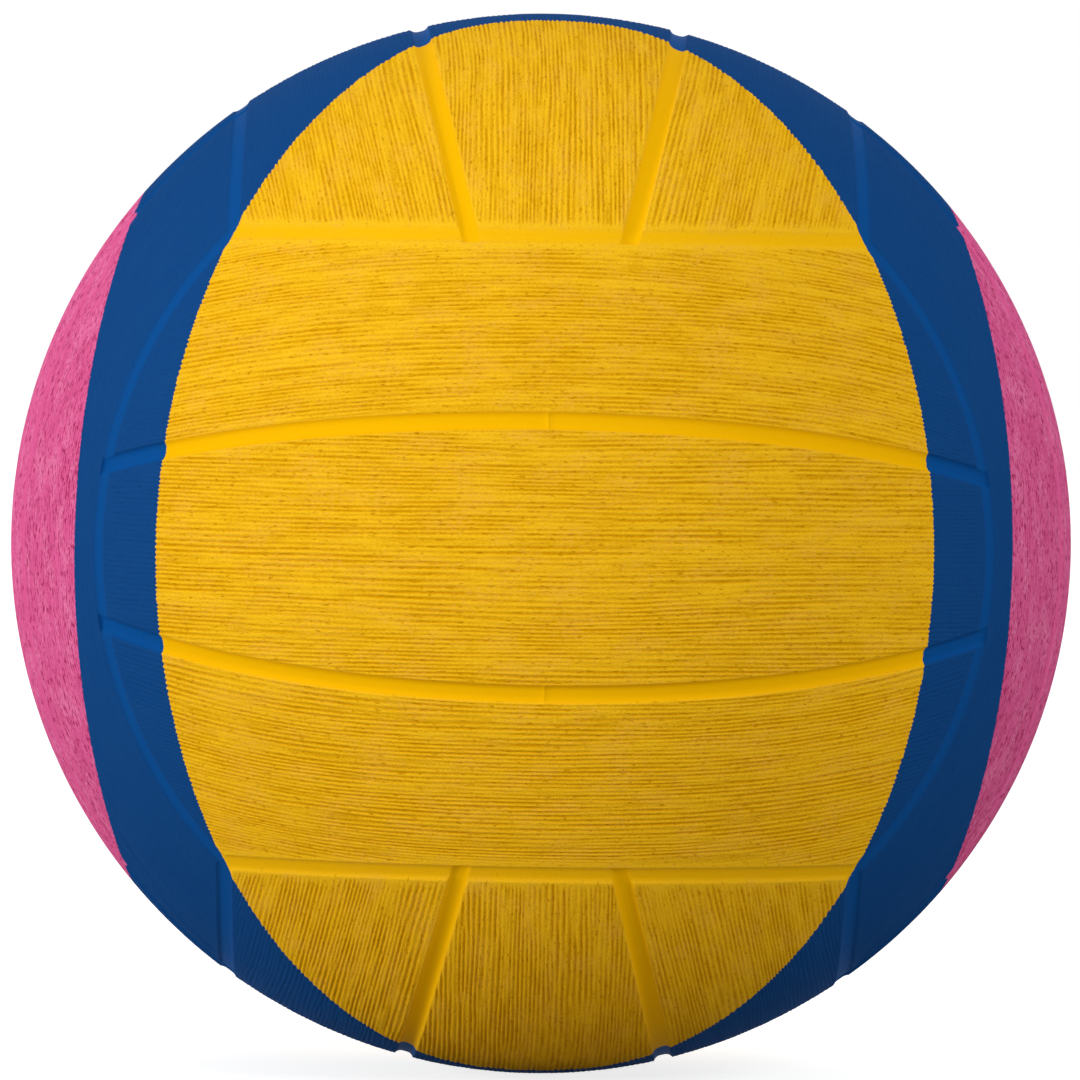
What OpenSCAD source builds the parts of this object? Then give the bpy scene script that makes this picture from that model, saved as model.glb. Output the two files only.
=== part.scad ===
// Water polo ball: eighteen moulded rubber panels over a casing, a thread winding and a bladder.
// The origin is the centre of the ball. +Z runs out through the valve, and -Y faces the front.

/* [Ball] */
// Diameter over the panels
ball_d = 187.8; // [165:0.1:230]
// Thickness of the rubber panels
cover_t = 1.3; // [1.1:0.05:3]
// Thickness of the rubber casing under the panels
casing_t = 0.4; // [0.3:0.05:1.5]
// Thickness of the nylon thread winding
winding_t = 0.4; // [0.2:0.05:1.5]
// Thickness of the bladder's wall
bladder_t = 0.7; // [0.4:0.05:1.5]

/* [Seams] */
// Angle that the middle panel of each face spans
middle_deg = 28.4; // [22:0.1:36]
// Width of the trough along each seam, from lip to lip
trough_w = 3.4; // [1.8:0.1:5]
// Depth of the trough along each seam
trough_d = 0.8; // [0.3:0.05:1]
// How far past the seam the centre of each panel's arc lies, which leaves a crease in the trough
crease = 0.2; // [0.1:0.05:0.4]

/* [Valve core] */
// Diameter of the needle guide
needle_d = 1.9; // [1.5:0.1:2.4]
// Depth of the needle guide below the head's top
guide_depth = 9; // [6:0.5:12]
// Depth of the cone at the guide's mouth, as wide as it is deep
lead_in = 0.5; // [0.2:0.1:0.9]
// Rubber around the needle guide
stem_wall = 1.65; // [1.2:0.05:2.4]
// How far the stem stands out of the housing's inner end
stem_out = 2; // [1:0.1:6]
// Length of the tapered tip at the stem's end
tip_length = 1.8; // [1:0.1:3]
// Diameter of the head
head_d = 6.8; // [6:0.1:9]
// Height of the head
head_t = 2.4; // [2:0.1:3]
// Rounding of the head's rim, cut as a bevel
head_bevel = 0.4; // [0.1:0.1:0.8]
// How far the head lies below the ball's surface
head_sink = 0.3; // [0:0.1:0.8]
// How far the retaining collar stands out from the stem
collar_step = 0.7; // [0.3:0.1:0.9]
// Height of the retaining collar
collar_height = 1.8; // [1:0.1:3]
// Distance from the head's underside to the collar
collar_drop = 6; // [4:0.5:8]

/* [Valve housing] */
// Rubber around the core
housing_wall = 1.6; // [1:0.1:3]
// Length of the housing below the core's head
housing_length = 13; // [12:0.5:14]
// Bevel around the housing's inner end
housing_bevel = 0.8; // [0.2:0.1:0.9]
// Diameter of the flange that is bonded inside the bladder
flange_d = 30; // [20:1:50]
// Thickness of the flange
flange_t = 1; // [0.6:0.1:2]
// Gap between the core's head and the hole in the panel
port_gap = 0.15; // [0.05:0.05:0.5]
// Bevel around the hole in the panel
port_bevel = 0.5; // [0.2:0.1:0.9]

/* [Hidden] */

$fn = 180;

// Outer radius of each layer, from the outside in
cover_r = ball_d / 2;
casing_r = cover_r - cover_t;
winding_r = casing_r - casing_t;
bladder_r = winding_r - winding_t;
air_r = bladder_r - bladder_t;

// Cutting bodies run this far from the centre
reach = ball_d;

// Three circles, one about each axis, meet in a point where each lies at this share of the radius
face_share = 1 / sqrt(3);
// Each face is bounded by the cone about its own axis, of this half angle
face_deg = acos(face_share);
// Seams between the faces lie at this latitude about the axis that they circle
seam_deg = 90 - face_deg;
// Half the angle of a face's middle panel
half_deg = middle_deg / 2;

// Each panel's half of a trough is an arc from its lip down to the seam. The arc's centre runs
// above the surface and past the seam, so the two halves meet in a fine crease.
scoop_rise = (trough_w * (trough_w / 4 + crease) - trough_d * trough_d) / (2 * trough_d);
scoop_r = norm([crease, scoop_rise + trough_d]);
scoop_path_r = cover_r + scoop_rise;
past_deg = asin(crease / scoop_path_r);

// Turns that carry the face about +Z to the six sides of the ball. The strips run front to back
// on the top and bottom, upright on the left and right, and across on the front and back.
TOP = [0, 0, 0];
BOTTOM = [180, 0, 0];
RIGHT = [90, 0, 90];
LEFT = [-90, 0, 90];
BACK = [-90, -90, 0];
FRONT = [90, -90, 0];

// Radii and heights of the valve core, which stands along +Z
needle_r = needle_d / 2;
stem_r = needle_r + stem_wall;
collar_r = stem_r + collar_step;
head_r = head_d / 2;
top_z = cover_r - head_sink;
head_z = top_z - head_t;
collar_z = head_z - collar_drop - collar_height;
housing_z = head_z - housing_length;
tip_z = housing_z - stem_out;

// The housing's neck passes through every layer under the panels
neck_r = max(head_r, collar_r) + housing_wall;
port_r = head_r + port_gap;

YELLOW = "#EDB60F";
BLUE = "#163A73";
PINK = "#D459A0";
BLACK = "#26262A";
TAN = "#C9B48F";

// Hollow ball between two radii
module shell(outer, inner) {
    difference() {
        sphere(r = outer);
        sphere(r = inner);
    }
}

// Cone that bounds a face, with its tip at the ball's centre and its axis along +Z
module face_cone() {
    cylinder(h = reach, r1 = 0, r2 = reach * tan(face_deg));
}

// Blank of the face about +Z between two planes through the Y axis, at two angles from +Z
// towards +X. It ends at the face's own cone.
module face_strip(from_deg, to_deg) {
    intersection() {
        shell(cover_r, casing_r);
        face_cone();
        rotate([90, 0, 0])
            linear_extrude(height = 2 * reach, center = true)
                polygon([
                    [0, 0],
                    reach * [sin(from_deg), cos(from_deg)],
                    reach * [sin(to_deg), cos(to_deg)]
                ]);
    }
}

// Scoops half a trough out of a panel. The axis of the seam's circle is +Z turned about Y, and
// the latitude about it is that of the scoop's centre, which lies past the seam by past_deg.
module scoop(turn_deg, latitude) {
    difference() {
        children();
        rotate([0, turn_deg, 0])
            rotate_extrude()
                translate(scoop_path_r * [cos(latitude), sin(latitude)])
                    circle(r = scoop_r, $fn = 48);
    }
}

// Middle panel of the face about +Z: both ends and both long edges are scooped
module middle_panel() {
    scoop(0, seam_deg - past_deg)
        scoop(90 + half_deg, past_deg)
            scoop(-90 - half_deg, past_deg)
                face_strip(-half_deg, half_deg);
}

// Outer panel of the face about +Z, on the -X side for -1 and on the +X side for 1. It runs
// from the middle panel to the next face's cone.
module outer_panel(side) {
    scoop(0, seam_deg - past_deg)
        scoop(side * 90, seam_deg + past_deg)
            scoop(side * (half_deg - 90), past_deg)
                difference() {
                    face_strip(side * half_deg, side * 90);
                    rotate([0, side * 90, 0]) face_cone();
                }
}

// Closed layer of the carcass, pierced by the valve's neck
module carcass_layer(outer, inner) {
    difference() {
        shell(outer, inner);
        cylinder(h = reach, r = neck_r);
    }
}

// Outer form of the valve core: head, stem, retaining collar and tapered tip
module core_form() {
    rotate_extrude()
        polygon([
            [0, tip_z],
            [needle_r, tip_z],
            [stem_r, tip_z + tip_length],
            [stem_r, collar_z],
            [collar_r, collar_z + collar_height],
            [stem_r, collar_z + collar_height],
            [stem_r, head_z],
            [head_r, head_z],
            [head_r, top_z - head_bevel],
            [head_r - head_bevel, top_z],
            [0, top_z]
        ]);
}

// Rubber bladder that holds the air
module bladder() {
    color(BLACK) carcass_layer(bladder_r, air_r);
}

// Nylon thread winding around the bladder
module thread_winding() {
    color("white") carcass_layer(winding_r, bladder_r);
}

// Rubber casing between the winding and the panels
module rubber_casing() {
    color(TAN) carcass_layer(casing_r, winding_r);
}

// Housing whose flange is bonded inside the bladder and whose neck reaches the panel
module valve_housing() {
    color(BLACK) difference() {
        union() {
            intersection() {
                sphere(r = casing_r);
                rotate_extrude()
                    polygon([
                        [0, housing_z],
                        [neck_r - housing_bevel, housing_z],
                        [neck_r, housing_z + housing_bevel],
                        [neck_r, reach],
                        [0, reach]
                    ]);
            }
            intersection() {
                shell(air_r, air_r - flange_t);
                cylinder(h = air_r, r1 = 0, r2 = flange_d / 2);
            }
        }
        core_form();
    }
}

// Rubber core that seals itself around the inflating needle
module valve_core() {
    color("dimgray") difference() {
        core_form();
        translate([0, 0, top_z - guide_depth]) cylinder(h = guide_depth, r = needle_r);
        translate([0, 0, top_z - lead_in])
            cylinder(h = 2 * lead_in, r1 = needle_r, r2 = needle_r + 2 * lead_in);
    }
}

module front_upper_panel() {
    color(YELLOW) rotate(FRONT) outer_panel(1);
}

module front_middle_panel() {
    color(YELLOW) rotate(FRONT) middle_panel();
}

module front_lower_panel() {
    color(YELLOW) rotate(FRONT) outer_panel(-1);
}

module back_upper_panel() {
    color(YELLOW) rotate(BACK) outer_panel(1);
}

module back_middle_panel() {
    color(YELLOW) rotate(BACK) middle_panel();
}

module back_lower_panel() {
    color(YELLOW) rotate(BACK) outer_panel(-1);
}

module top_left_panel() {
    color(BLUE) rotate(TOP) outer_panel(-1);
}

// The valve's port goes through this panel
module top_middle_panel() {
    color(YELLOW) difference() {
        rotate(TOP) middle_panel();
        cylinder(h = reach, r = port_r);
        translate([0, 0, cover_r - port_bevel])
            cylinder(h = 2 * port_bevel, r1 = port_r, r2 = port_r + 2 * port_bevel);
    }
}

module top_right_panel() {
    color(BLUE) rotate(TOP) outer_panel(1);
}

module bottom_left_panel() {
    color(BLUE) rotate(BOTTOM) outer_panel(-1);
}

module bottom_middle_panel() {
    color(YELLOW) rotate(BOTTOM) middle_panel();
}

module bottom_right_panel() {
    color(BLUE) rotate(BOTTOM) outer_panel(1);
}

module left_front_panel() {
    color(PINK) rotate(LEFT) outer_panel(-1);
}

module left_middle_panel() {
    color(PINK) rotate(LEFT) middle_panel();
}

module left_back_panel() {
    color(PINK) rotate(LEFT) outer_panel(1);
}

module right_front_panel() {
    color(PINK) rotate(RIGHT) outer_panel(-1);
}

module right_middle_panel() {
    color(PINK) rotate(RIGHT) middle_panel();
}

module right_back_panel() {
    color(PINK) rotate(RIGHT) outer_panel(1);
}

bladder();
valve_housing();
valve_core();
thread_winding();
rubber_casing();
front_upper_panel();
front_middle_panel();
front_lower_panel();
back_upper_panel();
back_middle_panel();
back_lower_panel();
top_left_panel();
top_middle_panel();
top_right_panel();
bottom_left_panel();
bottom_middle_panel();
bottom_right_panel();
left_front_panel();
left_middle_panel();
left_back_panel();
right_front_panel();
right_middle_panel();
right_back_panel();
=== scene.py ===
import math

import bpy
import numpy as np
from mathutils import Euler, Matrix, Vector


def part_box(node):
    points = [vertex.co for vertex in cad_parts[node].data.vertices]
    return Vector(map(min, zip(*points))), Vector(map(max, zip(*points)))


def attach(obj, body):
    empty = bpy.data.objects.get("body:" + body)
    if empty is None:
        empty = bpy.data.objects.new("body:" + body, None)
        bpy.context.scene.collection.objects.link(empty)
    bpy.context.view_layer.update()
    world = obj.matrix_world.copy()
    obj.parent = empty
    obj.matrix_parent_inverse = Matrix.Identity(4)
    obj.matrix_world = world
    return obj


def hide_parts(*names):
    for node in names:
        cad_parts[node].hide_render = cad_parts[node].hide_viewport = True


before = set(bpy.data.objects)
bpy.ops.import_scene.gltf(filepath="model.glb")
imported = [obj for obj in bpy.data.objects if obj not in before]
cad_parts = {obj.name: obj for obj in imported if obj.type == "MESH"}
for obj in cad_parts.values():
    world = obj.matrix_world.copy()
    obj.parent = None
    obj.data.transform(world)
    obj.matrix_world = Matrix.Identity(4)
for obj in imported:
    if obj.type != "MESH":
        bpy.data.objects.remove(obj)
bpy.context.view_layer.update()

# Bladder: a blown bag of butyl rubber that holds the air. It is moulded in black rubber, and its
# outside is dusted with talc so that it doesn't stick to the winding while the ball is built.
MM = 0.001
BLOTCH_DETAIL = 4
GRAIN_DETAIL = 3
GRAIN_BUMP = 0.3
GRAIN_HEIGHT = 0.05 * MM


def linear(hex_code):
    """Linear colour of an sRGB hex code, by the sRGB standard's own curve, with alpha 1."""
    shares = [int(hex_code[i:i + 2], 16) / 255 for i in (1, 3, 5)]
    return [c / 12.92 if c <= 0.04045 else ((c + 0.055) / 1.055) ** 2.4 for c in shares] + [1]


def add_node(tree, kind, inputs=None, **settings):
    """Adds a node. inputs goes by the name or number of each input, and holds its value, the output
    that feeds it, or the node whose first output in use feeds it."""
    new = tree.nodes.new(kind)
    for name, setting in settings.items():
        setattr(new, name, setting)
    for key, given in (inputs or {}).items():
        if isinstance(given, bpy.types.Node):
            given = next(output for output in given.outputs if output.enabled)
        if isinstance(given, bpy.types.NodeSocket):
            tree.links.new(given, new.inputs[key])
        else:
            new.inputs[key].default_value = given
    return new


def rubber(name, dark, light, roughness, blotch, grain):
    """Plain moulded rubber with soft blotches of two tones. blotch and grain are sizes in metres."""
    material = bpy.data.materials.new(name)
    material.use_nodes = True
    tree = material.node_tree
    surface = tree.nodes["Principled BSDF"]
    place = add_node(tree, "ShaderNodeTexCoord").outputs["Object"]
    cloud = add_node(tree, "ShaderNodeTexNoise",
                     {"Vector": place, "Scale": 1 / blotch, "Detail": BLOTCH_DETAIL})
    tone = add_node(tree, "ShaderNodeMix", {"Factor": cloud, "A": linear(dark), "B": linear(light)},
                    data_type="RGBA")
    skin = add_node(tree, "ShaderNodeTexNoise",
                    {"Vector": place, "Scale": 1 / grain, "Detail": GRAIN_DETAIL})
    bump = add_node(tree, "ShaderNodeBump",
                    {"Height": skin, "Strength": GRAIN_BUMP, "Distance": GRAIN_HEIGHT})
    tree.links.new(tone.outputs["Result"], surface.inputs["Base Color"])
    tree.links.new(bump.outputs["Normal"], surface.inputs["Normal"])
    surface.inputs["Roughness"].default_value = roughness
    return material


def finish_cad_node(name, material):
    """Gives a CAD node that stays in view its material."""
    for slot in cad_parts[name].material_slots:
        slot.material = material


talc_dusted = rubber("talc_dusted_butyl", dark="#1C1C1F", light="#4A4A4C", roughness=0.75,
                     blotch=12 * MM, grain=0.6 * MM)
finish_cad_node("bladder", talc_dusted)

# Valve housing: a tube of soft black rubber with a flange that is vulcanised inside the bladder.
# It has the even, slightly shiny skin of a compression moulding.
moulded_black = rubber("moulded_black_rubber", dark="#202022", light="#2C2C2F", roughness=0.5,
                       blotch=8 * MM, grain=0.4 * MM)
finish_cad_node("valve_housing", moulded_black)

# Valve core: a plug of grey rubber, pushed into the housing and sealed by its own squeeze. Its head
# shows in the cover's port, with a rounded rim, a dished top and the needle's mouth in the middle.
core_low, core_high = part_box("valve_core")
CORE_SIDES = 48
HEAD_R = core_high.x
HEAD_TOP = core_high.z
HEAD_H = 2.4 * MM
STEM_R = 2.6 * MM
COLLAR_STEP = 0.7 * MM
COLLAR_H = 1.8 * MM
COLLAR_DROP = 6 * MM
TIP_H = 1.8 * MM
NEEDLE_R = 0.95 * MM
GUIDE_DEPTH = 9 * MM
RIM_W = 0.9 * MM
DISH_DEPTH = 0.35 * MM
MOUTH_R = 1.6 * MM
EDGE_ROUND = 0.3 * MM
EDGE_ROUND_STEPS = 4
ROUNDED_ANGLE = math.radians(35)
CORE_SMOOTH_ANGLE = math.radians(40)
head_under = HEAD_TOP - HEAD_H
collar_low = head_under - COLLAR_DROP - COLLAR_H
collar_high = collar_low + COLLAR_H
dish_floor = HEAD_TOP - DISH_DEPTH
mouth_low = dish_floor - MOUTH_R + NEEDLE_R


def deselect():
    """Leaves nothing selected, in object mode."""
    if bpy.context.object and bpy.context.object.mode != "OBJECT":
        bpy.ops.object.mode_set(mode="OBJECT")
    bpy.ops.object.select_all(action="DESELECT")


def apply_modifier(piece, kind, **settings):
    """Adds a modifier to a piece and applies it."""
    bpy.context.view_layer.objects.active = piece
    modifier = piece.modifiers.new(kind.lower(), kind)
    for name, setting in settings.items():
        setattr(modifier, name, setting)
    bpy.ops.object.modifier_apply(modifier=modifier.name)


deselect()
bpy.ops.mesh.primitive_circle_add(vertices=CORE_SIDES, radius=NEEDLE_R, location=(0, 0, core_low.z))
valve_core = bpy.context.object
valve_core.name = "valve_plug"
bpy.ops.object.transform_apply(location=True, rotation=False, scale=False)
bpy.ops.object.mode_set(mode="EDIT")
bpy.ops.mesh.select_all(action="SELECT")
bpy.ops.mesh.edge_face_add()
# Radius and height of each ring, from the tip up the outside, over the head and down the guide
outline = [
    (STEM_R, core_low.z + TIP_H), (STEM_R, collar_low), (STEM_R + COLLAR_STEP, collar_high),
    (STEM_R, collar_high), (STEM_R, head_under), (HEAD_R, head_under), (HEAD_R, HEAD_TOP),
    (HEAD_R - RIM_W, HEAD_TOP), (MOUTH_R, dish_floor), (NEEDLE_R, mouth_low),
    (NEEDLE_R, HEAD_TOP - GUIDE_DEPTH),
]
ring_r, ring_z = NEEDLE_R, core_low.z
for next_r, next_z in outline:
    bpy.ops.mesh.extrude_region_move(TRANSFORM_OT_translate={"value": (0, 0, next_z - ring_z)})
    bpy.ops.transform.resize(value=(next_r / ring_r, next_r / ring_r, 1))
    ring_r, ring_z = next_r, next_z
bpy.ops.mesh.select_all(action="SELECT")
bpy.ops.mesh.normals_make_consistent(inside=False)
bpy.ops.object.mode_set(mode="OBJECT")
apply_modifier(valve_core, "BEVEL", width=EDGE_ROUND, segments=EDGE_ROUND_STEPS, limit_method="ANGLE",
               angle_limit=ROUNDED_ANGLE)
bpy.ops.object.shade_smooth_by_angle(angle=CORE_SMOOTH_ANGLE)
valve_core.data.materials.append(
    rubber("grey_moulded_rubber", dark="#4A4A4D", light="#58585B", roughness=0.45,
           blotch=3 * MM, grain=0.3 * MM))
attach(valve_core, "root")
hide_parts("valve_core")

# Thread winding: kilometres of nylon thread wound round the bladder in every direction, wetted with
# latex. It keeps the ball round. Three sets of threads cross in the material, 0.5 mm apart.
NYLON = "#F1F0EA"
LATEX = "#C9BFA6"
THREAD_PITCH = 0.5 * MM
# Turns of the three sets of threads, in radians
THREAD_TURNS = ((0.4, 0.2, 0), (1.5, 0.9, 0.3), (2.4, -0.7, 1.1))
THREAD_WAVER = 2
THREAD_DETAIL = 1
THREAD_BUMP = 0.6
THREAD_HEIGHT = 0.15 * MM
THREAD_ROUGHNESS = 0.55
# A band of Blender's wave texture is this wide at a scale of 1
WAVE_BAND = 0.314


def wound_thread():
    """White nylon thread in three crossing directions, with latex between the threads."""
    material = bpy.data.materials.new("wound_nylon_thread")
    material.use_nodes = True
    tree = material.node_tree
    surface = tree.nodes["Principled BSDF"]
    place = add_node(tree, "ShaderNodeTexCoord").outputs["Object"]
    height = None
    for turn in THREAD_TURNS:
        turned = add_node(tree, "ShaderNodeMapping", {"Vector": place, "Rotation": turn})
        bands = {"Scale": WAVE_BAND / THREAD_PITCH, "Distortion": THREAD_WAVER, "Detail": THREAD_DETAIL}
        threads = add_node(tree, "ShaderNodeTexWave", {"Vector": turned} | bands).outputs["Fac"]
        if height is None:
            height = threads
        else:
            height = add_node(tree, "ShaderNodeMath", {0: height, 1: threads}, operation="MAXIMUM")
    tone = add_node(tree, "ShaderNodeMix", {"Factor": height, "A": linear(LATEX), "B": linear(NYLON)},
                    data_type="RGBA")
    bump = add_node(tree, "ShaderNodeBump",
                    {"Height": height, "Strength": THREAD_BUMP, "Distance": THREAD_HEIGHT})
    tree.links.new(tone.outputs["Result"], surface.inputs["Base Color"])
    tree.links.new(bump.outputs["Normal"], surface.inputs["Normal"])
    surface.inputs["Roughness"].default_value = THREAD_ROUGHNESS
    return material


finish_cad_node("thread_winding", wound_thread())

# Rubber casing: a thin coat of tan natural rubber, vulcanised over the winding. The panels are
# bonded to it. It keeps the dull skin of calendered sheet.
tan_natural = rubber("tan_natural_rubber", dark="#B79F78", light="#D2BE9A", roughness=0.7,
                     blotch=15 * MM, grain=0.8 * MM)
finish_cad_node("rubber_casing", tan_natural)

# Cover panels: eighteen strips of rubber, pressed in one mould and bonded to the casing. Each of the
# six faces has three side by side, a middle one and an outer one on each side. One blank of each kind
# is made here, about +Z, with its length along Y.
BALL_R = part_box("right_middle_panel")[1].x
CASING_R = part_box("rubber_casing")[1].x
MIDDLE_DEGREES = 28.4
MIDDLE_HALF = math.radians(MIDDLE_DEGREES) / 2
# Six equal faces close the ball with their edges at this latitude
FACE_LATITUDE = math.asin(1 / math.sqrt(3))
# The outer sheet's mesh is fine across the ribs, and the inner sheet's is coarse
FINE_ACROSS = 0.15 * MM
FINE_ALONG = 1.25 * MM
COARSE = 4 * MM
SPARE_CELLS = 2
SNAP = 0.005 * MM
TROUGH_W = 3.4 * MM
CROSSING_LOOPS = 5
CROSSING_LOOP_GAP = 0.4 * MM
END_LOOPS = 11
END_LOOP_GAP = 0.25 * MM
PARTING_HALF_W = 0.28 * MM
PARTING_LOOPS = (-1, -0.5, 0, 0.5, 1)
inner_seam_normal = Vector((math.cos(MIDDLE_HALF), 0, -math.sin(MIDDLE_HALF)))
far_seam_normal = Vector((-inner_seam_normal.x, 0, inner_seam_normal.z))
# The next face's inner seams end on this face's outer panel, one on each side of its middle
crossing_normals = [Vector((-math.sin(MIDDLE_HALF), way * math.cos(MIDDLE_HALF), 0)) for way in (-1, 1)]


def face_sheet(radius, across, along, tilt):
    """Sheet over the whole face about +Z, spun about the X axis and tilted about Y, so that its rings
    run along a seam."""
    half_length = math.pi / 2 - FACE_LATITUDE
    deselect()
    bpy.ops.mesh.primitive_circle_add(vertices=4 * round(math.pi / 2 * radius / across), radius=radius,
                                      rotation=(math.pi / 2 - half_length, 0, 0))
    sheet = bpy.context.object
    bpy.ops.object.transform_apply(location=False, rotation=True, scale=False)
    bpy.ops.object.mode_set(mode="EDIT")
    bpy.ops.mesh.select_all(action="DESELECT")
    bpy.ops.object.mode_set(mode="OBJECT")
    widest = radius * math.sin(FACE_LATITUDE + SPARE_CELLS * across / radius)
    for vertex in sheet.data.vertices:
        vertex.select = abs(vertex.co.x) > widest or vertex.co.z < 0
    bpy.ops.object.mode_set(mode="EDIT")
    bpy.ops.mesh.delete(type="VERT")
    bpy.ops.object.mode_set(mode="OBJECT")
    steps = round(2 * half_length * radius / along)
    apply_modifier(sheet, "SCREW", axis="X", angle=2 * half_length, steps=steps, render_steps=steps,
                   screw_offset=0)
    sheet.rotation_euler = (0, tilt, 0)
    bpy.ops.object.transform_apply(location=False, rotation=True, scale=False)
    return sheet


def cut(place, normal, keep="both"):
    """Cuts the mesh being edited along a plane, and keeps what lies in front, behind or both."""
    bpy.ops.mesh.select_all(action="SELECT")
    bpy.ops.mesh.bisect(plane_co=place, plane_no=normal, threshold=SNAP,
                        clear_inner=keep == "front", clear_outer=keep == "behind")


def cut_outline(radius, middle):
    """Cuts the sheet being edited down to the middle panel or to the outer panel on the +X side."""
    face_edge = radius * math.sin(FACE_LATITUDE)
    cut((0, 0, face_edge), (0, 0, 1), "front")
    if middle:
        cut((0, 0, 0), inner_seam_normal, "behind")
        cut((0, 0, 0), far_seam_normal, "behind")
    else:
        cut((0, 0, 0), inner_seam_normal, "front")
        cut((face_edge, 0, 0), (1, 0, 0), "behind")


def panel_blank(name, middle):
    """Smooth panel of even thickness: a fine outer sheet, a coarse inner one and a rim between them."""
    tilt = 0 if middle else MIDDLE_HALF
    inner = face_sheet(CASING_R, COARSE, COARSE, tilt)
    bpy.ops.object.mode_set(mode="EDIT")
    cut_outline(CASING_R, middle)
    outer = face_sheet(BALL_R, FINE_ACROSS, FINE_ALONG, tilt)
    outer.name = name
    bpy.ops.object.mode_set(mode="EDIT")
    cut_outline(BALL_R, middle)
    # The troughs along the face's edges and the parting marks need loops of their own
    for loop in range(1, END_LOOPS + 1):
        inset = loop * END_LOOP_GAP / BALL_R
        cut((0, 0, BALL_R * math.sin(FACE_LATITUDE + inset)), (0, 0, 1))
        if not middle:
            cut((BALL_R * math.sin(FACE_LATITUDE - inset), 0, 0), (1, 0, 0))
    for share in PARTING_LOOPS:
        cut((0, share * PARTING_HALF_W, 0), (0, 1, 0))
    if not middle:
        for normal in crossing_normals:
            for loop in range(-CROSSING_LOOPS, CROSSING_LOOPS + 1):
                cut(loop * CROSSING_LOOP_GAP * normal, normal)
    bpy.ops.object.mode_set(mode="OBJECT")
    bpy.ops.object.select_all(action="DESELECT")
    inner.select_set(True)
    outer.select_set(True)
    bpy.context.view_layer.objects.active = outer
    bpy.ops.object.join()
    bpy.ops.object.mode_set(mode="EDIT")
    bpy.ops.mesh.select_mode(type="EDGE")
    bpy.ops.mesh.select_all(action="DESELECT")
    bpy.ops.mesh.select_non_manifold(extend=False)
    bpy.ops.mesh.bridge_edge_loops()
    bpy.ops.mesh.select_all(action="SELECT")
    bpy.ops.mesh.normals_make_consistent(inside=False)
    bpy.ops.mesh.select_mode(type="VERT")
    bpy.ops.object.mode_set(mode="OBJECT")
    return outer


middle_blank = panel_blank("middle_blank", True)
outer_blank = panel_blank("outer_blank", False)

# Moulded relief: the mould scoops a smooth trough along every seam and covers the rest with fine
# ribs along the strip, which drift, fork, fade and break like wood grain. Sizes in it are in mm,
# and each panel gets its own ribs. Only vertices of the outer sheet move, straight inwards.
INNER_TROUGH_DEPTH = 0.8
OUTER_TROUGH_DEPTH = 0.35
TROUGH_POWER = 3.4
CROSSING_FADE = 0.4
PARTING_HEIGHT = 0.14
POLISHED_DEPTH = 0.5
RIB_PITCHES = (0.92, 0.74)
RIB_HEIGHT = 0.2
RIB_MARGIN = 0.25
END_MARGIN = 2.0
LEAST_MARGIN = 0.1
VALVE_DISC_R = 6.5
VALVE_DISC_EDGE = 0.5
# A CELL is the size of a random feature, across the ribs and along them
NOISE_CELLS = 256
SWAY = 0.8
SWAY_CELL = (9, 50)
WAVER = 0.16
WAVER_CELL = (2.2, 14)
FORK_BLEND = 0.4
FORK_CELL = (4, 22)
FADE_MEAN = 0.8
FADE_SWING = 0.5
FADE_LEAST = 0.3
FADE_CELL = (1.1, 10)
BREAK = 0.2
BREAK_CELL = (0.4, 2.5)
RAGGED_SWING = 0.7
RAGGED_CELL = (1.3, 30)
# The colours' outlines, in ball radii. The photograph shows the blue's ribs only faintly, so they
# stand lower.
YELLOW_TIP = 0.184
YELLOW_TIP_POWER = 4
PINK_HALF_W = 0.506
PINK_HALF_H = 0.652
BLUE_STEP = 0.01
BLUE_RIB_SHARE = 0.45
ball_mm = BALL_R / MM
trough_half = TROUGH_W / 2 / MM


def wander(across, along, cell, seed):
    """Smooth random values from -1 to 1, over a lattice with this cell."""
    table = np.random.default_rng(seed).uniform(-1, 1, (NOISE_CELLS, NOISE_CELLS))
    across, along = across / cell[0], along / cell[1]
    row, column = np.floor(across).astype(int), np.floor(along).astype(int)
    s, t = across - row, along - column
    s, t = s * s * (3 - 2 * s), t * t * (3 - 2 * t)
    row_next, column_next = (row + 1) % NOISE_CELLS, (column + 1) % NOISE_CELLS
    row, column = row % NOISE_CELLS, column % NOISE_CELLS
    near = table[row, column] * (1 - s) + table[row_next, column] * s
    far = table[row, column_next] * (1 - s) + table[row_next, column_next] * s
    return near * (1 - t) + far * t


def ramp(low, high, value):
    """Smooth share from 0 at low to 1 at high."""
    share = np.clip((value - low) / (high - low), 0, 1)
    return share * share * (3 - 2 * share)


def ribs(across, along, seed):
    """Height of the ribs as a share, 0 in a valley and 1 on a crest."""
    drift = SWAY * wander(across, along, SWAY_CELL, seed)
    drift = drift + WAVER * wander(across, along, WAVER_CELL, seed + 1)
    broad, fine = [0.5 - 0.5 * np.cos(2 * math.pi * (across + drift) / pitch) for pitch in RIB_PITCHES]
    fork = ramp(-FORK_BLEND, FORK_BLEND, wander(across, along, FORK_CELL, seed + 5))
    valley = broad + (fine - broad) * fork
    strength = FADE_MEAN + FADE_SWING * wander(across, along, FADE_CELL, seed + 2)
    broken = BREAK * wander(across, along, BREAK_CELL, seed + 3)
    return np.clip(1 - np.clip(strength, FADE_LEAST, 1) * valley + broken, 0, 1)


def scoop(gap, depth):
    """Depth of a trough at a distance from its seam."""
    return depth * np.maximum(1 - (gap / trough_half) ** TROUGH_POWER, 0)


def seam_gap(outward, normal):
    """Distance over the ball from the seam whose plane has this normal."""
    return ball_mm * np.abs(np.arcsin(outward @ np.array(normal)))


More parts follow.
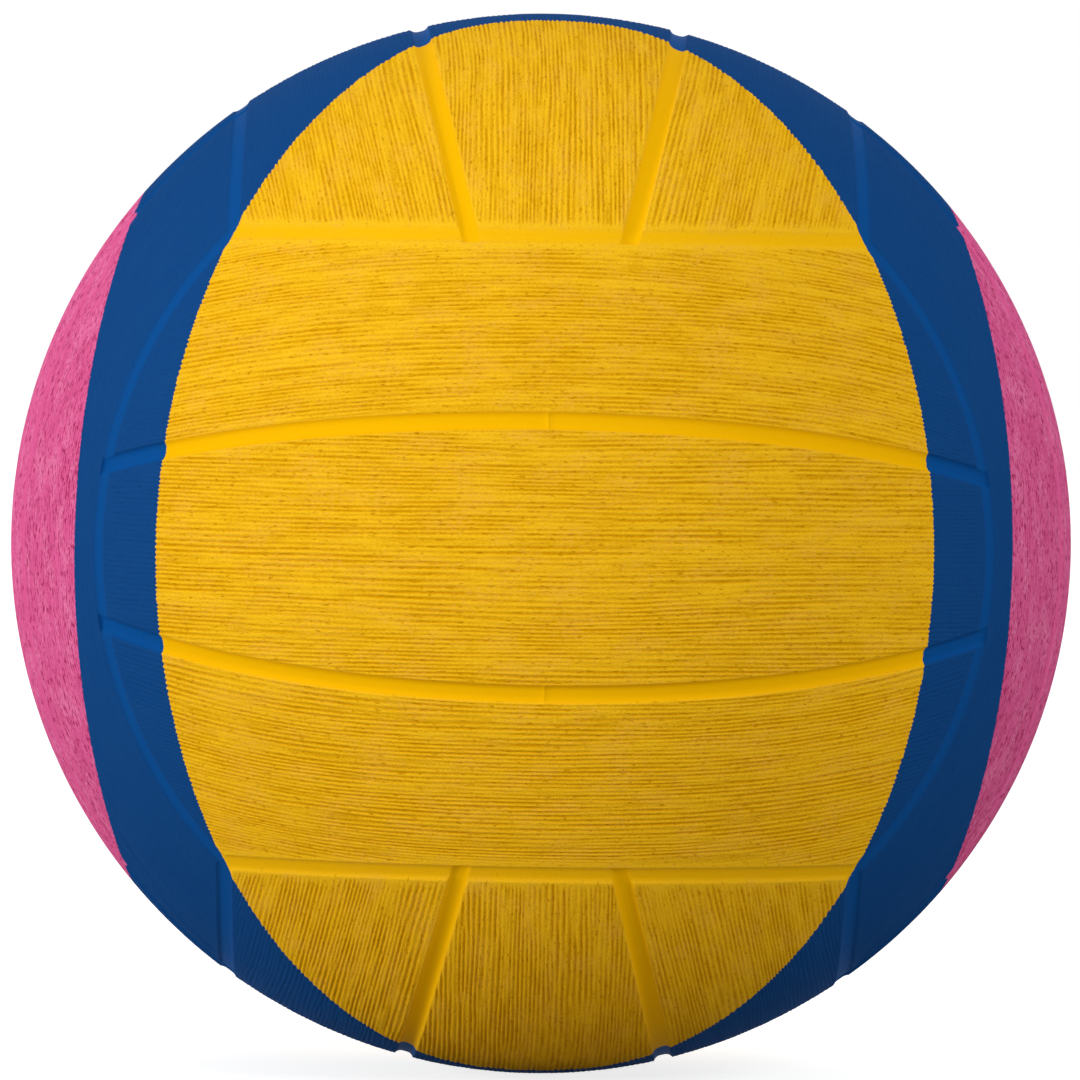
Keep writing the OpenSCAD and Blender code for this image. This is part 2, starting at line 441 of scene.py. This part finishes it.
def blue_share(outward):
    """Share that is 1 on the blue, and 0 on the yellow and the pink."""
    x, y, z = np.abs(outward).T
    tip = (x ** YELLOW_TIP_POWER + YELLOW_TIP ** YELLOW_TIP_POWER) ** (1 / YELLOW_TIP_POWER)
    pink_reach = PINK_HALF_W * (1 - np.hypot(y / PINK_HALF_W, z / PINK_HALF_H))
    return ramp(0, -BLUE_STEP, np.maximum(y - tip, pink_reach))


def mould_relief(panel, middle, seed, placed, valve=False):
    """Moulds the troughs and ribs into a blank, and keeps their shares and the strip's own map.
    placed turns the blank to the panel's place on the ball."""
    mesh = panel.data
    place = np.empty(3 * len(mesh.vertices))
    mesh.vertices.foreach_get("co", place)
    place = place.reshape(-1, 3)
    distance = np.linalg.norm(place, axis=1)
    outward = place / distance[:, None]
    x, y, z = outward.T
    outer = distance > (BALL_R + CASING_R) / 2
    latitude = np.arcsin(x)
    along = ball_mm * np.arctan2(y, z)
    end_gap = np.maximum(ball_mm * (np.arcsin(z) - FACE_LATITUDE), 0)
    inner_gap = seam_gap(outward, inner_seam_normal)
    if middle:
        inner_gap = np.minimum(inner_gap, seam_gap(outward, far_seam_normal))
        side_gap = inner_gap
        across = ball_mm * latitude
        trough = np.maximum(scoop(inner_gap, INNER_TROUGH_DEPTH), scoop(end_gap, OUTER_TROUGH_DEPTH))
    else:
        outer_gap = np.maximum(ball_mm * (FACE_LATITUDE - latitude), 0)
        side_gap = np.minimum(inner_gap, outer_gap)
        across = inner_gap
        crossing_gap = np.minimum(*(seam_gap(outward, normal) for normal in crossing_normals))
        crossing = scoop(crossing_gap, INNER_TROUGH_DEPTH)
        crossing = crossing * ramp(trough_half, trough_half - CROSSING_FADE, outer_gap)
        trough = np.maximum(scoop(inner_gap, INNER_TROUGH_DEPTH), crossing)
        trough = np.maximum(trough, scoop(np.minimum(end_gap, outer_gap), OUTER_TROUGH_DEPTH))
    # A parting mark has its full height over the deeper half of the trough
    parting = ramp(1, 0, np.abs(along) / (PARTING_HALF_W / MM)) * (inner_gap < trough_half)
    trough = trough - PARTING_HEIGHT * parting * np.minimum(trough / INNER_TROUGH_DEPTH * 2, 1)
    ribbed = ramp(trough_half - RIB_MARGIN, trough_half + RIB_MARGIN, side_gap)
    ragged = END_MARGIN * (1 + RAGGED_SWING * wander(across, along, RAGGED_CELL, seed + 4))
    ragged = np.maximum(ragged, LEAST_MARGIN)
    ribbed = ribbed * ramp(0, 1, (end_gap - trough_half) / ragged)
    if not middle:
        ribbed = ribbed * ramp(0, 1, (outer_gap - trough_half) / ragged)
    if valve:
        valve_gap = ball_mm * np.arccos(np.clip(z, -1, 1))
        ribbed = ribbed * ramp(VALVE_DISC_R - VALVE_DISC_EDGE, VALVE_DISC_R + VALVE_DISC_EDGE, valve_gap)
    rib = 1 - ribbed * (1 - ribs(across, along, seed))
    rib_height = RIB_HEIGHT * (1 - (1 - BLUE_RIB_SHARE) * blue_share(outward @ np.array(placed).T))
    drop = np.maximum(trough, rib_height * (1 - rib))
    moved = outward * (ball_mm - drop)[:, None] * MM
    place[outer] = moved[outer]
    mesh.vertices.foreach_set("co", place.ravel())
    for name, values in (("rib", rib), ("trough", ramp(0, POLISHED_DEPTH, trough))):
        mesh.attributes.new(name, "FLOAT", "POINT").data.foreach_set("value", values.astype(np.float32))
    strip = np.stack([across, along], 1) * MM
    corner_vertex = np.empty(len(mesh.loops), int)
    mesh.loops.foreach_get("vertex_index", corner_vertex)
    uv = mesh.uv_layers.new(name="strip")
    uv.data.foreach_set("uv", strip[corner_vertex].ravel().astype(np.float32))
    mesh.update()


# Cover finish: the panels are pressed from yellow, blue and pink stock in one mould, so each colour
# goes right through, and its edge steps from rib to rib. The darker valley tone between the ribs is
# painted shade, so the crests show lighter. Ribs are torn, and pale in flecks; a pit's darker tone is
# partly painted shade in it. Troughs are smoother and deeper in colour, and on the blue their lighter
# tone is partly painted light. torn is the noise below which a pit shows.
# valley is painted shade between the ribs, and crest is the lighter tone on them; the blue has both the
# same.
YELLOW = {"crest": "#F1BB1C", "valley": "#CE9100", "pale_fleck": "#EAAF38", "pit": "#C28802", "trough": "#ECB203",
          "torn": 0.42}
# The blue's trough tone is lighter than its ribs: partly painted light along the troughs.
BLUE = {"crest": "#12437D", "valley": "#12437D", "pale_fleck": "#15467E", "pit": "#113F76", "trough": "#0B4B8E",
        "torn": 0.42}
PINK = {"crest": "#DE6298", "valley": "#C24578", "pale_fleck": "#EA8CB4", "pit": "#A6285A", "trough": "#DA5E95",
        "torn": 0.5}
EDGE_STEP = 0.28 * MM
EDGE_SOFTNESS = 0.12 * MM
FRAY = 2
# Sizes of the streaks of noise, across the ribs and along them
FRAY_SIZE = (0.4 * MM, 0.7 * MM)
PALE_PATCH_SIZE = (4 * MM, 9 * MM)
PALE_FLECK_SIZE = (0.35 * MM, 0.9 * MM)
TEAR_SIZE = (0.42 * MM, 1.7 * MM)
SKIN_SIZE = (0.28 * MM, 0.55 * MM)
PALE_FLECK_LIMITS = {"From Min": 0.24, "From Max": 0.4, "To Max": 0.5}
# Added to the noise on a crest, so that pits lie mostly between the ribs
CREST_HOLD = 0.1
PIT_SOFTNESS = 0.11
PIT_SHARE = 0.9
PIT_DEPTH = 0.3
SKIN_HEIGHT = 0.12 * MM
RIB_ROUGHNESS = 0.65
TROUGH_ROUGHNESS = 0.5
# The photograph shows almost no gloss on the cover
COVER_SPECULAR = 0.004


def cover_rubber():
    """Moulded rubber of the cover, in its three colours."""
    material = bpy.data.materials.new("moulded_cover_rubber")
    material.use_nodes = True
    tree = material.node_tree
    surface = tree.nodes["Principled BSDF"]
    rib = add_node(tree, "ShaderNodeAttribute", attribute_name="rib").outputs["Fac"]
    trough = add_node(tree, "ShaderNodeAttribute", attribute_name="trough").outputs["Fac"]
    strip = add_node(tree, "ShaderNodeUVMap", uv_map="strip")

    def streaks(size, detail):
        """Noise on the strip's own map, with streaks of this size."""
        scaled = add_node(tree, "ShaderNodeMapping",
                          {"Vector": strip, "Scale": (1 / size[0], 1 / size[1], 1)})
        return add_node(tree, "ShaderNodeTexNoise", {"Vector": scaled, "Scale": 1, "Detail": detail},
                        noise_dimensions="2D")

    place = add_node(tree, "ShaderNodeTexCoord").outputs["Object"]
    outward = add_node(tree, "ShaderNodeVectorMath", {0: place}, operation="NORMALIZE")
    split = add_node(tree, "ShaderNodeSeparateXYZ", {"Vector": outward})
    x, y, z = (add_node(tree, "ShaderNodeMath", {0: split.outputs[axis]}, operation="ABSOLUTE")
               for axis in "XYZ")

    # The step of a colour's edge, in ball radii: ribs carry it further than valleys
    teeth = add_node(tree, "ShaderNodeMath", {0: rib, 1: 0.5}, operation="SUBTRACT")
    fray = add_node(tree, "ShaderNodeMath", {0: streaks(FRAY_SIZE, 2), 1: 0.5}, operation="SUBTRACT")
    fray = add_node(tree, "ShaderNodeMath", {0: fray, 1: FRAY}, operation="MULTIPLY")
    step = add_node(tree, "ShaderNodeMath", {0: teeth, 1: fray}, operation="ADD")
    step = add_node(tree, "ShaderNodeMath", {0: step, 1: EDGE_STEP / BALL_R}, operation="MULTIPLY")

    # How far a point lies inside the yellow and inside the pink, as blue_share has it
    edge = add_node(tree, "ShaderNodeMath", {0: x, 1: YELLOW_TIP_POWER}, operation="POWER")
    edge = add_node(tree, "ShaderNodeMath", {0: edge, 1: YELLOW_TIP ** YELLOW_TIP_POWER}, operation="ADD")
    edge = add_node(tree, "ShaderNodeMath", {0: edge, 1: 1 / YELLOW_TIP_POWER}, operation="POWER")
    yellow_reach = add_node(tree, "ShaderNodeMath", {0: y, 1: edge}, operation="SUBTRACT")
    level = add_node(tree, "ShaderNodeMath", {0: y, 1: PINK_HALF_W}, operation="DIVIDE")
    level = add_node(tree, "ShaderNodeMath", {0: level, 1: 2}, operation="POWER")
    upright = add_node(tree, "ShaderNodeMath", {0: z, 1: PINK_HALF_H}, operation="DIVIDE")
    upright = add_node(tree, "ShaderNodeMath", {0: upright, 1: 2}, operation="POWER")
    oval = add_node(tree, "ShaderNodeMath", {0: level, 1: upright}, operation="ADD")
    oval = add_node(tree, "ShaderNodeMath", {0: oval}, operation="SQRT")
    pink_reach = add_node(tree, "ShaderNodeMath", {0: 1, 1: oval}, operation="SUBTRACT")
    pink_reach = add_node(tree, "ShaderNodeMath", {0: pink_reach, 1: PINK_HALF_W}, operation="MULTIPLY")
    shares = []
    for reach in (yellow_reach, pink_reach):
        reach = add_node(tree, "ShaderNodeMath", {0: reach, 1: step}, operation="ADD")
        share = add_node(tree, "ShaderNodeMath", {0: reach, 1: EDGE_SOFTNESS / BALL_R}, operation="DIVIDE")
        share = add_node(tree, "ShaderNodeMath", {0: share, 1: 0.5}, operation="ADD")
        shares.append(add_node(tree, "ShaderNodeClamp", {"Value": share}))
    yellow_share, pink_share = shares

    # Pale patches are spread in flecks, and torn pits are short
    flecks = {0: streaks(PALE_PATCH_SIZE, 3), 1: streaks(PALE_FLECK_SIZE, 3)}
    flecks = add_node(tree, "ShaderNodeMath", flecks, operation="MULTIPLY")
    pale_fleck = add_node(tree, "ShaderNodeMapRange", {"Value": flecks} | PALE_FLECK_LIMITS)
    tears = add_node(tree, "ShaderNodeMath", {0: rib, 1: CREST_HOLD, 2: streaks(TEAR_SIZE, 2)},
                     operation="MULTIPLY_ADD")
    skin = streaks(SKIN_SIZE, 3)
    # height takes each colour from the valley's painted shade to the crest's tone, by rib height and skin
    # grain.
    height = add_node(tree, "ShaderNodeMath", {0: skin, 1: 0.5}, operation="SUBTRACT")
    height = add_node(tree, "ShaderNodeMath", {0: rib, 1: height}, operation="ADD")
    tones = []
    for paint in (PINK, BLUE, YELLOW):
        # A pit's darker tone is partly painted shade in it; the bump further down also sinks it.
        limits = {"From Min": paint["torn"], "From Max": paint["torn"] - PIT_SOFTNESS, "To Max": PIT_SHARE}
        pit = add_node(tree, "ShaderNodeMapRange", {"Value": tears} | limits)
        tone = linear(paint["valley"])
        for share, layer in ((height, "crest"), (pale_fleck, "pale_fleck"), (pit, "pit"), (trough, "trough")):
            tone = add_node(tree, "ShaderNodeMix", {"Factor": share, "A": tone, "B": linear(paint[layer])},
                            data_type="RGBA")
        tones.append(tone)
    pink, blue, yellow = tones
    colour = add_node(tree, "ShaderNodeMix", {"Factor": yellow_share, "A": blue, "B": yellow},
                      data_type="RGBA")
    colour = add_node(tree, "ShaderNodeMix", {"Factor": pink_share, "A": colour, "B": pink},
                      data_type="RGBA")
    tree.links.new(colour.outputs["Result"], surface.inputs["Base Color"])

    # Ribs are dull, and the mould's polished troughs are smoother. The yellow's pits, the last made
    # above, sink the surface on all three colours
    dull = add_node(tree, "ShaderNodeMapRange",
                    {"Value": trough, "To Min": RIB_ROUGHNESS, "To Max": TROUGH_ROUGHNESS})
    tree.links.new(dull.outputs["Result"], surface.inputs["Roughness"])
    sunk = add_node(tree, "ShaderNodeMath", {0: pit, 1: PIT_DEPTH}, operation="MULTIPLY")
    fine = add_node(tree, "ShaderNodeMath", {0: skin, 1: sunk}, operation="SUBTRACT")
    unpolished = add_node(tree, "ShaderNodeMath", {0: 1, 1: trough}, operation="SUBTRACT")
    fine = add_node(tree, "ShaderNodeMath", {0: fine, 1: unpolished}, operation="MULTIPLY")
    bump = add_node(tree, "ShaderNodeBump", {"Height": fine, "Strength": 1, "Distance": SKIN_HEIGHT})
    tree.links.new(bump.outputs["Normal"], surface.inputs["Normal"])
    surface.inputs["Specular IOR Level"].default_value = COVER_SPECULAR
    return material


# Faces: the same two blanks make all eighteen panels. Each face is turned into place as a whole, and
# the outer blank is turned half round its face's axis for the panel on the other side.
FACES = {
    "front": ((90, -90, 0), ("lower", "middle", "upper")),
    "back": ((-90, -90, 0), ("lower", "middle", "upper")),
    "top": ((0, 0, 0), ("left", "middle", "right")),
    "bottom": ((180, 0, 0), ("left", "middle", "right")),
    "left": ((-90, 0, 90), ("front", "middle", "back")),
    "right": ((90, 0, 90), ("front", "middle", "back")),
}
SEEDS_PER_PANEL = 10
COVER_SMOOTH_ANGLE = math.radians(75)
finish = cover_rubber()
panel_count = 0
for face, (angles, sides) in FACES.items():
    turned = Euler([math.radians(angle) for angle in angles]).to_matrix().to_4x4()
    for place, side in enumerate(sides):
        blank = middle_blank if side == "middle" else outer_blank
        holds_valve = (face, side) == ("top", "middle")
        panel = bpy.data.objects.new(f"cover_{face}_{side}", blank.data.copy())
        bpy.context.scene.collection.objects.link(panel)
        panel_count += 1
        placed = turned @ Matrix.Rotation(math.pi if place == 0 else 0, 4, "Z")
        mould_relief(panel, side == "middle", SEEDS_PER_PANEL * panel_count, placed.to_3x3(),
                     valve=holds_valve)
        panel.data.transform(placed)
        panel.data.materials.append(finish)
        deselect()
        panel.select_set(True)
        bpy.context.view_layer.objects.active = panel
        bpy.ops.object.shade_smooth_by_angle(angle=COVER_SMOOTH_ANGLE)
        node = f"{face}_{side}_panel"
        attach(panel, "root")
        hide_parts(node)
        if holds_valve:
            port_panel = panel
for blank in (middle_blank, outer_blank):
    bpy.data.objects.remove(blank)

# Valve port: a round hole through the rubber of the top's middle panel, over the core's head. It has
# a bevelled mouth, and the core stands in it with a little room all round.
PORT_GAP = 0.15 * MM
PORT_BEVEL = 0.5 * MM
CUTTER_SIDES = 96
CUTTER_H = 4 * MM
FACING_UP = 0.9
deselect()
port_r = HEAD_R + PORT_GAP
bpy.ops.mesh.primitive_cylinder_add(vertices=CUTTER_SIDES, radius=port_r, depth=CUTTER_H,
                                    location=(0, 0, BALL_R - CUTTER_H / 2 - PORT_BEVEL))
cutter = bpy.context.object
bpy.ops.object.mode_set(mode="EDIT")
bpy.ops.mesh.select_all(action="DESELECT")
bpy.ops.object.mode_set(mode="OBJECT")
for polygon in cutter.data.polygons:
    polygon.select = polygon.normal.z > FACING_UP
bpy.ops.object.mode_set(mode="EDIT")
bpy.ops.mesh.select_mode(type="FACE")
bpy.ops.mesh.extrude_region_move(TRANSFORM_OT_translate={"value": (0, 0, 2 * PORT_BEVEL)})
grown = (port_r + 2 * PORT_BEVEL) / port_r
bpy.ops.transform.resize(value=(grown, grown, 1))
bpy.ops.mesh.select_mode(type="VERT")
bpy.ops.object.mode_set(mode="OBJECT")
apply_modifier(port_panel, "BOOLEAN", object=cutter, operation="DIFFERENCE", solver="EXACT")
bpy.data.objects.remove(cutter)

# Floor: a plain pale floor, matt all over, that the ball lies on. The camera sees it white beside the
# ball's shadow.
FLOOR_SIZE = 12
FLOOR_GLOW = 0.8
FLOOR_GREY = "#BBBBB9"
FLOOR_ROUGHNESS = 0.9


def white_to_camera(tree):
    """Share that is 1 for what the camera sees directly, in gloss or through glass."""
    path = add_node(tree, "ShaderNodeLightPath")
    seen = path.outputs["Is Camera Ray"]
    for ray in ("Is Glossy Ray", "Is Transmission Ray"):
        seen = add_node(tree, "ShaderNodeMath", {0: seen, 1: path.outputs[ray]}, operation="MAXIMUM")
    return seen


deselect()
bpy.ops.mesh.primitive_plane_add(size=FLOOR_SIZE, location=(0, 0, -BALL_R))
floor = bpy.context.object
floor.name = "floor"
pale = bpy.data.materials.new("matt_pale_floor")
pale.use_nodes = True
tree = pale.node_tree
surface = tree.nodes["Principled BSDF"]
surface.inputs["Base Color"].default_value = linear(FLOOR_GREY)
surface.inputs["Roughness"].default_value = FLOOR_ROUGHNESS
surface.inputs["Specular IOR Level"].default_value = 0
glow = add_node(tree, "ShaderNodeMath", {0: white_to_camera(tree), 1: FLOOR_GLOW}, operation="MULTIPLY")
tree.links.new(glow.outputs["Value"], surface.inputs["Emission Strength"])
surface.inputs["Emission Color"].default_value = (1, 1, 1, 1)
floor.data.materials.append(pale)

# Light: a soft box on each side, the left one stronger, in a pale room that is lighter above. The
# camera sees the room white.
ROOM_BELOW = 0.07
ROOM_ABOVE = 0.84
world = bpy.data.worlds.new("pale_room")
bpy.context.scene.world = world
world.use_nodes = True
room = world.node_tree
background = room.nodes["Background"]
facing = add_node(room, "ShaderNodeTexCoord").outputs["Generated"]
rise = add_node(room, "ShaderNodeSeparateXYZ", {"Vector": facing}).outputs["Z"]
light = add_node(room, "ShaderNodeMapRange",
                 {"Value": rise, "From Min": -1, "To Min": ROOM_BELOW, "To Max": ROOM_ABOVE})
level = add_node(room, "ShaderNodeMapRange", {"Value": white_to_camera(room), "To Min": light, "To Max": 1})
room.links.new(level.outputs["Result"], background.inputs["Strength"])
background.inputs["Color"].default_value = (1, 1, 1, 1)


def soft_box(name, place, size, power):
    """Square lamp at a place, turned to the ball."""
    lamp = bpy.data.lights.new(name, "AREA")
    lamp.size = size
    lamp.energy = power
    holder = bpy.data.objects.new(name, lamp)
    holder.location = place
    holder.rotation_euler = (-Vector(place)).to_track_quat("-Z", "Y").to_euler()
    bpy.context.scene.collection.objects.link(holder)


soft_box("left_box", place=(-1.65, -0.85, 0.26), size=0.6, power=18.5)
soft_box("right_box", place=(0.9, -1.5, 0.9), size=0.6, power=11)

# Camera: at the photograph's angle, a little left of the front and above it, with a slight roll. It
# stands eighteen radii away, and its lens fits the ball's measured circle in the picture.
PICTURE = 1080
BALL_PIXELS = 530
CENTRE_PIXEL = (541, 543.5)
DISTANCE = 18 * BALL_R
SIDE_ANGLE = math.radians(0.6)
HEIGHT_ANGLE = math.radians(1.5)
ROLL = math.radians(0.9)
camera = bpy.data.objects.new("camera", bpy.data.cameras.new("camera"))
bpy.context.scene.collection.objects.link(camera)
camera.location = DISTANCE * Vector((-math.sin(SIDE_ANGLE) * math.cos(HEIGHT_ANGLE),
                                     -math.cos(SIDE_ANGLE) * math.cos(HEIGHT_ANGLE), math.sin(HEIGHT_ANGLE)))
aim = (-camera.location).to_track_quat("-Z", "Y")
camera.rotation_euler = (aim.to_matrix() @ Matrix.Rotation(ROLL, 3, "Z")).to_euler()
focal_pixels = BALL_PIXELS * math.sqrt((DISTANCE / BALL_R) ** 2 - 1)
camera.data.lens = focal_pixels * camera.data.sensor_width / PICTURE
camera.data.shift_x = (PICTURE / 2 - CENTRE_PIXEL[0]) / PICTURE
camera.data.shift_y = (CENTRE_PIXEL[1] - PICTURE / 2) / PICTURE
camera.data.clip_end = 50
bpy.context.scene.camera = camera
bpy.context.scene.view_settings.view_transform = "Standard"
